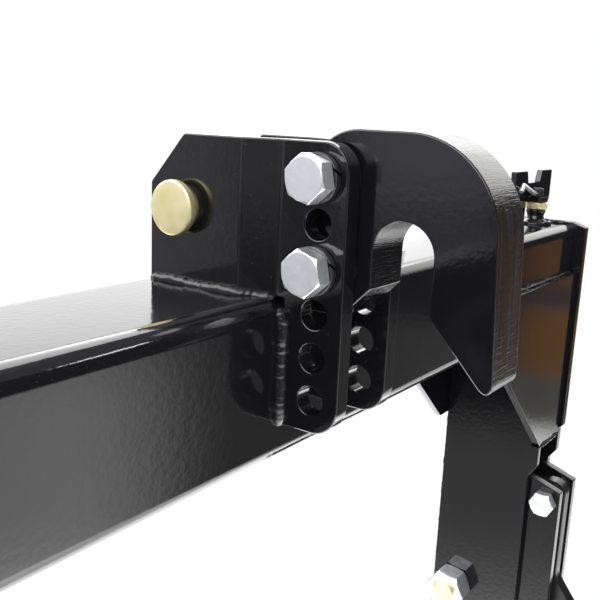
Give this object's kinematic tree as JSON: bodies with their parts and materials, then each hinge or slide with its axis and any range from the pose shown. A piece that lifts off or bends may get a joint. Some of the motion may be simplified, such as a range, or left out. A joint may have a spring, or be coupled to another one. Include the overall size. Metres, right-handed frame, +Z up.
{
  "type": "three point quick hitch",
  "caption": "Welded steel quick hitch frame with an adjustable top hook, latching lower hooks and spring loaded pull handles.",
  "frame": {"origin": "centre of the crossbar's rear face, the one towards the tractor", "axes": "+X to the right along the crossbar as seen from the implement, +Y towards the tractor, +Z up"},
  "size_m": [0.9312, 0.1864, 0.5005],
  "materials": {
    "gloss_black": "gloss black powder coat with fine orange peel",
    "flame_cut_black": "gloss black powder coat, striated on its flame cut edges",
    "satin_black": "satin black",
    "bright_zinc": "bright zinc plate",
    "yellow_zinc": "yellow zinc plate on steel",
    "spring_steel": "oil tempered spring wire"
  },
  "bodies": {
    "frame": {"crossbar": "gloss_black", "left_bracket_plate": "gloss_black", "right_bracket_plate": "gloss_black", "top_hook": "flame_cut_black", "upper_hook_bolt": "bright_zinc", "lower_hook_bolt": "bright_zinc", "upper_hook_nut": "bright_zinc", "lower_hook_nut": "bright_zinc", "upper_hook_washer": "spring_steel", "lower_hook_washer": "spring_steel", "left_upper_hook_spacer": "bright_zinc", "right_upper_hook_spacer": "bright_zinc", "left_lower_hook_spacer": "bright_zinc", "right_lower_hook_spacer": "bright_zinc", "left_front_gusset": "gloss_black", "right_front_gusset": "gloss_black", "left_rear_gusset": "gloss_black", "right_rear_gusset": "gloss_black", "left_inner_cheek": "gloss_black", "right_inner_cheek": "gloss_black", "left_outer_cheek": "gloss_black", "right_outer_cheek": "gloss_black", "left_back_web": "gloss_black", "right_back_web": "gloss_black", "left_inner_hook_plate": "gloss_black", "right_inner_hook_plate": "gloss_black", "left_outer_hook_plate": "gloss_black", "right_outer_hook_plate": "gloss_black", "left_latch_pivot_bolt": "bright_zinc", "right_latch_pivot_bolt": "bright_zinc", "left_latch_pivot_nut": "bright_zinc", "right_latch_pivot_nut": "bright_zinc", "left_inner_latch_spacer": "bright_zinc", "right_inner_latch_spacer": "bright_zinc", "left_outer_latch_spacer": "bright_zinc", "right_outer_latch_spacer": "bright_zinc", "left_return_spring": "spring_steel", "right_return_spring": "spring_steel", "left_rod_guide": "gloss_black", "right_rod_guide": "gloss_black", "left_lower_link_pin": "yellow_zinc", "right_lower_link_pin": "yellow_zinc", "left_lower_link_pin_nut": "bright_zinc", "right_lower_link_pin_nut": "bright_zinc", "left_lower_linchpin": "yellow_zinc", "right_lower_linchpin": "yellow_zinc"},
    "top_link_pin": {"top_link_pin": "yellow_zinc", "top_link_pin_clip": "bright_zinc"},
    "left_handle": {"left_pull_rod": "satin_black", "left_rod_cross_pin": "bright_zinc", "left_pull_handle": "gloss_black", "left_handle_jam_nut": "yellow_zinc", "left_handle_clip": "bright_zinc"},
    "right_handle": {"right_pull_rod": "satin_black", "right_rod_cross_pin": "bright_zinc", "right_pull_handle": "gloss_black", "right_handle_jam_nut": "yellow_zinc", "right_handle_clip": "bright_zinc"},
    "left_latch": {"left_latch": "satin_black"},
    "right_latch": {"right_latch": "satin_black"}
  },
  "joints": [
    {"name": "left_handle_pull", "type": "slide", "parent": "frame", "child": "left_handle", "axis": [0, 0, 1], "range_m": [0, 0.0145], "stiffness_N_per_m": 1500, "springref_m": -0.012, "deforming": ["left_return_spring"]},
    {"name": "right_handle_pull", "type": "slide", "parent": "frame", "child": "right_handle", "axis": [0, 0, 1], "range_m": [0, 0.0145], "stiffness_N_per_m": 1500, "springref_m": -0.012, "deforming": ["right_return_spring"]},
    {"name": "left_latch_swing", "type": "hinge", "parent": "frame", "child": "left_latch", "pos_m": [-0.37215, -0.094, -0.197], "axis": [1, 0, 0], "range_deg": [0, 20]},
    {"name": "right_latch_swing", "type": "hinge", "parent": "frame", "child": "right_latch", "pos_m": [0.37215, -0.094, -0.197], "axis": [1, 0, 0], "range_deg": [0, 20]},
    {"name": "top_link_pin_spin", "type": "hinge", "parent": "frame", "child": "top_link_pin", "pos_m": [0, -0.025, 0.0767], "axis": [1, 0, 0], "continuous": true}
  ],
  "couplings": [
    {"joint": "left_latch_swing", "follows": "left_handle_pull", "rad_per_m": 22.93},
    {"joint": "right_latch_swing", "follows": "right_handle_pull", "rad_per_m": 22.93}
  ]
}
